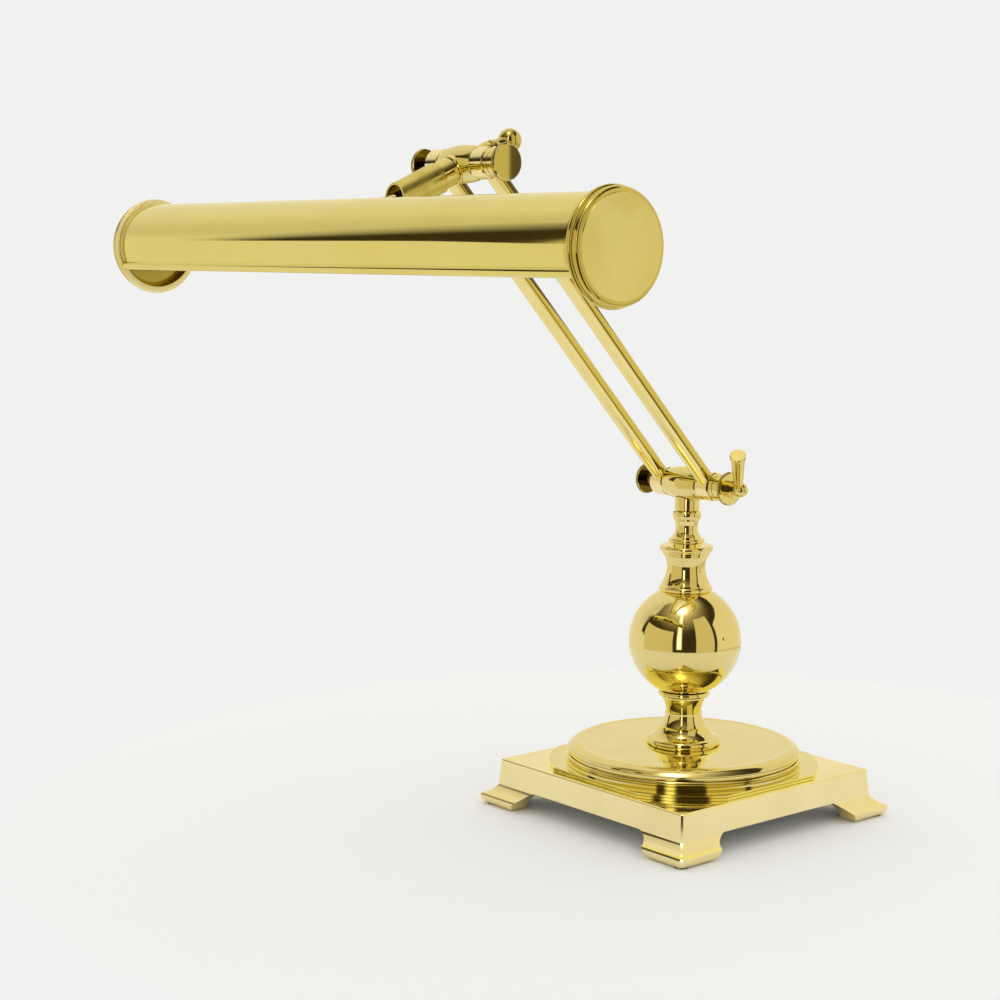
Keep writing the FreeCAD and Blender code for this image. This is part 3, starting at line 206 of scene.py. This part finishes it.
# ------------------------------------------------------------------ table top
# A plain round top in pale matt paint that the lamp stands on. The paint fades out before the edge,
# so that no rim shows against the pale room.
TABLE_RADIUS = 0.5
FADE_FROM, FADE_TO = 0.38, 0.44
table_mesh = bmesh.new()
bmesh.ops.create_circle(table_mesh, cap_ends=True, segments=96, radius=TABLE_RADIUS)
table_data = bpy.data.meshes.new("table_top")
table_mesh.to_mesh(table_data)
table_top = bpy.data.objects.new("table_top", table_data)
table_top.location = pillar_place
scene.collection.objects.link(table_top)
table_paint = bpy.data.materials.new("pale_matt_paint")
table_paint.use_nodes = True
tree = table_paint.node_tree
shader = tree.nodes["Principled BSDF"]
shader.inputs["Base Color"].default_value = linear("#F5F5F4")
shader.inputs["Roughness"].default_value = 0.8
reach = add(tree, "VectorMath", add(tree, "TexCoord").outputs["Object"], operation="LENGTH")
paint = add(tree, "MapRange", reach, FADE_FROM, FADE_TO, 1.0, 0.0, **SMOOTH)
tree.links.new(paint.outputs[0], shader.inputs["Alpha"])
table_data.materials.append(table_paint)


# ------------------------------------------------------------------ base
# Sand-cast footed square with a round plate, its four sides cut off, and a turned plinth on it. The
# cast faces are machined, then all three are buffed and lacquered.
def finish(name, colours, roughness, give, drift_mm, line_mm, depth_mm, stretch=(1, 1, 1)):
    """Worked metal: over drift_mm its tone drifts between two colours, and its roughness by give
    each way. Its fine lines are drawn line_mm apart, as coarse as they need to show."""
    metal = bpy.data.materials.new(name)
    metal.use_nodes = True
    tree = metal.node_tree
    shader = tree.nodes["Principled BSDF"]
    shader.inputs["Metallic"].default_value = 1.0
    place = add(tree, "TexCoord").outputs["Object"]
    drift = add(tree, "TexNoise", place, Scale=1000 / drift_mm, Detail=3.0)
    worn = add(tree, "MapRange", drift, 0.35, 0.75, **SMOOTH)
    tone = add(tree, "Mix", worn, *[linear(colour) for colour in colours], **COLOUR)
    gloss = add(tree, "MapRange", drift, 0.3, 0.7, roughness - give, roughness + give, **SMOOTH)
    laid = add(tree, "Mapping", place, Scale=stretch)
    lines = add(tree, "TexNoise", laid, Scale=1000 / line_mm, Detail=2.0)
    relief = add(tree, "Bump", Strength=0.25, Distance=depth_mm / 1000, Height=lines)
    tree.links.new(tone.outputs[2], shader.inputs["Base Color"])
    tree.links.new(gloss.outputs[0], shader.inputs["Roughness"])
    tree.links.new(relief.outputs[0], shader.inputs["Normal"])
    return metal


def retone(metal, *zones):
    """Lays further colours over a metal's own, each where its zone is 1."""
    tree = metal.node_tree
    socket = tree.nodes["Principled BSDF"].inputs["Base Color"]
    for zone, colour in zones:
        tone = add(tree, "Mix", zone, socket.links[0].from_socket, linear(colour), **COLOUR)
        tree.links.new(tone.outputs[2], socket)


def dress(material, *nodes):
    """Gives CAD nodes one material in place of their plain colour."""
    for node in nodes:
        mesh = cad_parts[node].data
        mesh.materials.clear()
        mesh.materials.append(material)


# Cast brass, ground and buffed: the palest gold here, with a soft mirror.
pale_brass = finish("pale_brass", ("#F8E7AE", "#F4E1A5"), roughness=0.06, give=0.02, drift_mm=30,
                    line_mm=0.9, depth_mm=0.001)
dress(pale_brass, "base_casting")

# Brass faced in the lathe: a deeper gold, whose turned rings break up what it mirrors. Real tool
# marks are too fine to show, so the rings are drawn as relief, as coarse as they need to show, and the
# grooves in the upright sides as darker lines of painted shade. On those sides the rings lie four times as
# close.
GROOVE_PITCH = 0.0018
GROOVE_FLAT = 0.0004
SIDE_RING_SQUEEZE = 4.0
lathe_brass = finish("lathe_brass", ("#EAD792", "#E5D189"), roughness=0.085, give=0.01, drift_mm=30,
                     line_mm=5.0, depth_mm=0.22)
faced_brass = finish("faced_brass", ("#EAD792", "#E5D189"), roughness=0.085, give=0.01, drift_mm=30,
                     line_mm=3.0, depth_mm=0.4)
for turned_metal, node in ((lathe_brass, "plinth"), (faced_brass, "clipped_plate")):
    tree = turned_metal.node_tree
    place = add(tree, "TexCoord").outputs
    spot = add(tree, "SeparateXYZ", place["Object"]).outputs
    behind_axis = add(tree, "Math", spot[1], pillar_place[1], operation="SUBTRACT")
    from_axis = add(tree, "VectorMath", add(tree, "CombineXYZ", spot[0], behind_axis), operation="LENGTH")
    level = add(tree, "Math", spot[2], SIDE_RING_SQUEEZE, operation="MULTIPLY")
    rings = add(tree, "CombineXYZ", from_axis, 0.0, level)
    tree.links.new(rings.outputs[0], tree.nodes["Mapping"].inputs["Vector"])
    faced = add(tree, "SeparateXYZ", place["Normal"]).outputs[2]
    faced = add(tree, "Math", faced, operation="ABSOLUTE")
    side = add(tree, "MapRange", faced, 0.5, 0.8, 1.0, 0.0, **SMOOTH)
    wave = add(tree, "Math", spot[2], GROOVE_PITCH / 2, operation="PINGPONG")
    painted_groove_shade = add(tree, "MapRange", wave, GROOVE_FLAT, GROOVE_PITCH / 2, **SMOOTH)
    # The grooves are painted shade: darker lines where the mesh has no groove.
    retone(turned_metal, (add(tree, "Math", side, painted_groove_shade, operation="MULTIPLY"), "#A38C3E"))
    dress(turned_metal, node)

# ------------------------------------------------------------------ pillar
# Turned brass foot, spun hollow ball, turned neck and swivel collar, threaded on one tie rod that a
# nut draws down under the base. The stop screw holds the turning knuckle in its collar.
# Buffed brass: the same gold as the turned base, but a clear, unbroken mirror.
buffed_brass = finish("buffed_brass", ("#EAD792", "#E5D189"), roughness=0.05, give=0.02, drift_mm=30,
                      line_mm=0.9, depth_mm=0.001)
dress(buffed_brass, "pillar_foot", "pillar_ball", "pillar_neck", "swivel_collar", "tie_rod", "tie_rod_nut",
      "stop_screw")

# ------------------------------------------------------------------ bottom cover
# Zinc-plated steel sheet, held inside the skirt by four screws.
# Zinc plate: a dull grey that is cloudy rather than scratched.
zinc_plate = finish("zinc_plate", ("#B9BAB6", "#A3A5A2"), roughness=0.34, give=0.06, drift_mm=12,
                    line_mm=0.6, depth_mm=0.01)
dress(zinc_plate, "bottom_cover", *["cover_screw_%d" % number for number in range(1, 5)])


# ------------------------------------------------------------------ ballast, foot pads and cord bush
# A cast iron disc clamped under the top, wool felt glued under the toes, and a moulded phenolic bush
# pressed into the hole at the back.
def plain(name, colours, roughness, grain_mm, depth_mm, sheen=0.0):
    """Stuff without a metal's mirror, whose tone and relief follow a grain of a real size."""
    stuff = bpy.data.materials.new(name)
    stuff.use_nodes = True
    tree = stuff.node_tree
    shader = tree.nodes["Principled BSDF"]
    place = add(tree, "TexCoord").outputs["Object"]
    grain = add(tree, "TexNoise", place, Scale=1000 / grain_mm, Detail=4.0)
    tone = add(tree, "Mix", grain, *[linear(colour) for colour in colours], **COLOUR)
    relief = add(tree, "Bump", Strength=0.6, Distance=depth_mm / 1000, Height=grain)
    tree.links.new(tone.outputs[2], shader.inputs["Base Color"])
    tree.links.new(relief.outputs[0], shader.inputs["Normal"])
    shader.inputs["Roughness"].default_value = roughness
    shader.inputs["Sheen Weight"].default_value = sheen
    return stuff


# Cast iron: dark and sandy. Felt: nearly black, with a faint bloom. Phenolic: black, softly shiny.
cast_iron = plain("cast_iron", ("#3A3A3A", "#2B2B2B"), roughness=0.75, grain_mm=1.5, depth_mm=0.1)
wool_felt = plain("wool_felt", ("#1E1F1D", "#0F100F"), roughness=0.95, grain_mm=0.5, depth_mm=0.12, sheen=0.4)
phenolic = plain("black_phenolic", ("#1B1A19", "#141312"), roughness=0.38, grain_mm=0.8, depth_mm=0.02)
dress(cast_iron, "ballast")
dress(wool_felt, *["foot_pad_%d" % number for number in range(1, 5)])
dress(phenolic, "cord_bush")

# ------------------------------------------------------------------ knuckle
# Cast and turned brass barrel on a short post, whose spigot turns in the swivel collar. It is buffed
# as bright as the pillar under it.
dress(buffed_brass, "knuckle")

# ------------------------------------------------------------------ arms
# Two brass tubes, each brazed between two bored collars, and buffed as one with them.
# Drawn tube, buffed: pale gold, with painted reflections on it: a deeper flank at the back and a thin
# dark line along the flank's edge. Behind them lies a painted dark band, which narrows downwards from
# the head.
arm_brass = finish("arm_brass", ("#F6E39C", "#F1DC90"), roughness=0.06, give=0.02, drift_mm=30,
                   line_mm=0.9, depth_mm=0.001)
tree = arm_brass.node_tree
place = add(tree, "TexCoord").outputs
ARM_LEAN = math.radians(43.07)
to_back = (0, math.cos(ARM_LEAN), math.sin(ARM_LEAN))
backward = add(tree, "VectorMath", place["Normal"], to_back, operation="DOT_PRODUCT")
painted_flank_reflection = add(tree, "MapRange", backward, -0.30, -0.16, **SMOOTH)
line = add(tree, "Math", add(tree, "MapRange", backward, -0.31, -0.24, **SMOOTH),
           add(tree, "MapRange", backward, -0.20, -0.13, 1.0, 0.0, **SMOOTH), operation="MINIMUM")
(_, _, arm_foot), (_, _, arm_top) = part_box("arm_left")
edge_ends, edge_full = (arm_foot + share * (arm_top - arm_foot) for share in (0.28, 0.82))
level = add(tree, "SeparateXYZ", place["Object"]).outputs[2]
edge_from = add(tree, "MapRange", level, edge_ends, edge_full, 0.97, -0.08, **SMOOTH)
past_edge = add(tree, "Math", backward, edge_from, operation="SUBTRACT")
painted_dark_band = add(tree, "MapRange", past_edge, -0.06, 0.06, **SMOOTH)
# The flank, the line along its edge and the dark band are painted reflections.
retone(arm_brass, (painted_flank_reflection, "#D6C262"), (line, "#A08A3A"), (painted_dark_band, "#5E4C1C"))
dress(arm_brass, "arm_left", "arm_right")
dress(pale_brass, *["%s_collar_%s" % (end, side) for end in ("elbow", "head") for side in ("left", "right")])

# ------------------------------------------------------------------ head and ball nut
# Cast and turned brass barrel between the upper collars, with a boss for the stem and a threaded
# tail for the turned ball nut.
# Turned brass: a slightly deeper gold whose mirror is a little blurred. The ball nut is duller.
turned_brass = finish("turned_brass", ("#E6D48A", "#DFCC80"), roughness=0.09, give=0.02, drift_mm=12,
                      line_mm=0.5, depth_mm=0.002)
dull_brass = finish("dull_brass", ("#D3BF70", "#C8B362"), roughness=0.12, give=0.03, drift_mm=8,
                    line_mm=0.5, depth_mm=0.002)
dress(turned_brass, "head_body")
dress(dull_brass, "ball_nut")

# ------------------------------------------------------------------ clamp screws and buttons
# Turned brass screws through the collars: a clamp with a tapered lever and a plain wheel on the
# right, two plain buttons on the left. Each has a wheel with a straight knurl rolled into its rim.
dress(turned_brass, "arm_clamp_screw", "arm_clamp_lever")

# The buttons are turned too. Their inner faces, which look into the narrow gaps by the collars, are painted
# dark as painted shade.
UNSHADED_OUTER_WIDTH = 0.0023
button_brass = finish("button_brass", ("#E6D48A", "#DFCC80"), roughness=0.10, give=0.02, drift_mm=12,
                      line_mm=0.5, depth_mm=0.002)
tree = button_brass.node_tree
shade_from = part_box("elbow_button")[0][0] + UNSHADED_OUTER_WIDTH
across = add(tree, "SeparateXYZ", add(tree, "TexCoord").outputs["Object"]).outputs[0]
painted_face_shade = add(tree, "MapRange", across, shade_from - 0.0001, shade_from + 0.0001, **SMOOTH)
# Painted shade on the inner part of each button.
retone(button_brass, (painted_face_shade, "#6E5A22"))
dress(button_brass, "elbow_button", "head_button")

# The upper wheel's face is lapped flat: the sharpest mirror here.
lapped_brass = finish("lapped_brass", ("#EAD792", "#E8D48E"), roughness=0.016, give=0.002, drift_mm=20,
                      line_mm=0.9, depth_mm=0.00001)
dress(lapped_brass, "head_clamp_wheel")

# Knurled brass: a darker, duller, broken band round each rim.
knurled_brass = finish("knurled_brass", ("#B39A4E", "#8E7633"), roughness=0.30, give=0.08, drift_mm=4,
                       line_mm=0.3, depth_mm=0.01)
KNURL_TEETH = 64
KNURL_DEPTH = 0.00022
KNURL_WIDTH = 0.0016
KNURL_SINK = 0.00003
CLAMP_OVERSIZE = 0.0006
WHEEL_WIDTH = 0.0025
for name, body, button, side in (("arm_clamp_knurl", "arm_clamp", "elbow_button", 1),
                                 ("head_clamp_knurl", "head_clamp", "head_button", 1),
                                 ("elbow_button_knurl", "arms", "elbow_button", -1),
                                 ("head_button_knurl", "arms", "head_button", -1)):
    # A clamp wheel stands opposite its button and is a little larger.
    low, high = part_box(button)
    radius = (high[2] - low[2]) / 2 + (CLAMP_OVERSIZE if side > 0 else 0)
    middle = Vector((-side * (low[0] + WHEEL_WIDTH / 2), (low[1] + high[1]) / 2, (low[2] + high[2]) / 2))
    knurl = bmesh.new()
    bmesh.ops.create_cone(knurl, cap_ends=False, segments=2 * KNURL_TEETH, radius1=radius - KNURL_SINK,
                          radius2=radius - KNURL_SINK, depth=KNURL_WIDTH)
    for vert in knurl.verts:
        step = round(math.degrees(math.atan2(vert.co.y, vert.co.x)) * KNURL_TEETH / 180)
        if step % 2:
            vert.co.xy *= (radius + KNURL_DEPTH) / radius
    lay_down = Matrix.Translation(middle) @ Matrix.Rotation(math.radians(90), 4, "Y")
    bmesh.ops.transform(knurl, matrix=lay_down, verts=knurl.verts)
    knurl_data = bpy.data.meshes.new(name)
    knurl.to_mesh(knurl_data)
    knurl_data.materials.append(knurled_brass)
    knurl_object = bpy.data.objects.new(name, knurl_data)
    scene.collection.objects.link(knurl_object)
    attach(knurl_object, body)

# ------------------------------------------------------------------ stem
# Turned collar on the head, a tube sleeve cut square at its mouth, and the nipple that carries the
# shade, with its lock nut and two shaped washers.
dress(turned_brass, "stem_collar", "stem_nipple", "stem_lock_nut", "shade_saddle", "inner_saddle")

# Brushed brass: a satin gold with streaks along the stem, which drops towards the shade. They are
# drawn as coarse as they need to show.
STEM_DROP = math.radians(23.5)
STREAK_STRETCH = 0.03
brushed_brass = finish("brushed_brass", ("#DCCB78", "#CDBA62"), roughness=0.24, give=0.06, drift_mm=9,
                       line_mm=1.2, depth_mm=0.05)
tree = brushed_brass.node_tree
place = add(tree, "TexCoord").outputs["Object"]
across_stem = (0, -math.sin(STEM_DROP), math.cos(STEM_DROP))
along_stem = (0, -STREAK_STRETCH * math.cos(STEM_DROP), -STREAK_STRETCH * math.sin(STEM_DROP))
turned = [add(tree, "VectorMath", place, line, operation="DOT_PRODUCT")
          for line in ((1, 0, 0), across_stem, along_stem)]
tree.links.new(add(tree, "CombineXYZ", *turned).outputs[0], tree.nodes["Mapping"].inputs["Vector"])
dress(brushed_brass, "stem_sleeve")

# ------------------------------------------------------------------ shade
# Drawn brass tube, open along its underside with both edges rolled round a wire, and polished along
# its length.
# Drawn brass: a near mirror whose faint lines pull what it shows out lengthways.
drawn_brass = finish("drawn_brass", ("#E7D783", "#E3D27B"), roughness=0.05, give=0.01, drift_mm=60,
                     line_mm=0.8, depth_mm=0.003, stretch=(0.02, 1, 1))
dress(drawn_brass, "shade_shell")

# ------------------------------------------------------------------ end caps
# Pressed brass caps pushed on the ends of the shade. The rims are buffed, the flat face is left
# satin, and so is the hollow inside.
# Satin brass: the face glows evenly and mirrors nothing. Its rim is shiny and painted darker, a painted
# reflection; its hollow is painted deep gold as painted shade, and the lip that faces inwards is painted
# pale as a painted highlight.
FACE_RADIUS = 0.02405
CAP_WALL = 0.002
RIM_BLEND, WALL_BLEND = 0.00015, 0.0001
cap_low, cap_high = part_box("end_cap_right")
shade_y, shade_z = ((cap_low[i] + cap_high[i]) / 2 for i in (1, 2))
satin_brass = finish("satin_brass", ("#E6D68B", "#DFCE7D"), roughness=0.20, give=0.03, drift_mm=25,
                     line_mm=0.7, depth_mm=0.003)
tree = satin_brass.node_tree
place = add(tree, "TexCoord").outputs
spot = add(tree, "SeparateXYZ", place["Object"]).outputs
behind_axis = add(tree, "Math", spot[1], shade_y, operation="SUBTRACT")
above_axis = add(tree, "Math", spot[2], shade_z, operation="SUBTRACT")
off_axis = add(tree, "VectorMath", add(tree, "CombineXYZ", behind_axis, above_axis), operation="LENGTH")
on_rim = add(tree, "MapRange", off_axis, FACE_RADIUS - RIM_BLEND, FACE_RADIUS + RIM_BLEND, **SMOOTH)
faced = add(tree, "SeparateXYZ", place["Normal"]).outputs[0]
outward = add(tree, "Math", faced, add(tree, "Math", spot[0], operation="SIGN"), operation="MULTIPLY")
inward = add(tree, "MapRange", outward, -0.5, -0.3, 1.0, 0.0, **SMOOTH)
painted_highlight_lip = add(tree, "Math", on_rim, inward, operation="MULTIPLY")
inner_wall = cap_high[0] - CAP_WALL
deep = add(tree, "MapRange", add(tree, "Math", spot[0], operation="ABSOLUTE"), inner_wall - WALL_BLEND,
           inner_wall + WALL_BLEND, 1.0, 0.0, **SMOOTH)
painted_shade_hollow = add(tree, "Math", deep, add(tree, "Math", 1.0, on_rim, operation="SUBTRACT"), operation="MULTIPLY")
# Painted reflection on the rim, painted shade in the hollow and a painted highlight on the inward lip.
retone(satin_brass, (on_rim, "#D2BE66"), (painted_shade_hollow, "#B4941E"), (painted_highlight_lip, "#FBEDB0"))
gloss = add(tree, "MapRange", on_rim, 0, 1, 0.20, 0.08, **SMOOTH)
for zone, duller in ((painted_shade_hollow, 0.18), (painted_highlight_lip, 0.34)):
    added = add(tree, "MapRange", zone, 0, 1, 0.0, duller, **SMOOTH)
    gloss = add(tree, "Math", gloss, added, operation="ADD")
metallic = add(tree, "MapRange", painted_highlight_lip, 0, 1, 1.0, 0.5, **SMOOTH)
shader = tree.nodes["Principled BSDF"]
tree.links.new(gloss.outputs[0], shader.inputs["Roughness"])
tree.links.new(metallic.outputs[0], shader.inputs["Metallic"])
dress(satin_brass, "end_cap_left", "end_cap_right")

# ------------------------------------------------------------------ lamps
# Two tubular screw lamps in moulded holders, which nuts clamp to a bent steel bracket.
# Nickel plate: a warm grey sheen. Opal glass: an even milky white with a soft gloss.
nickel_cap = finish("nickel_cap", ("#C9C8C2", "#B8B7B1"), roughness=0.22, give=0.04, drift_mm=8,
                    line_mm=0.6, depth_mm=0.01)
opal_glass = plain("opal_glass", ("#F3EFE2", "#ECE7D8"), roughness=0.18, grain_mm=3.0, depth_mm=0.005)
dress(zinc_plate, "lamp_bracket", "bracket_nut", "holder_nut_left", "holder_nut_right")
dress(phenolic, "lamp_holder_left", "lamp_holder_right")
dress(nickel_cap, "lamp_cap_left", "lamp_cap_right")
dress(opal_glass, "lamp_glass_left", "lamp_glass_right")
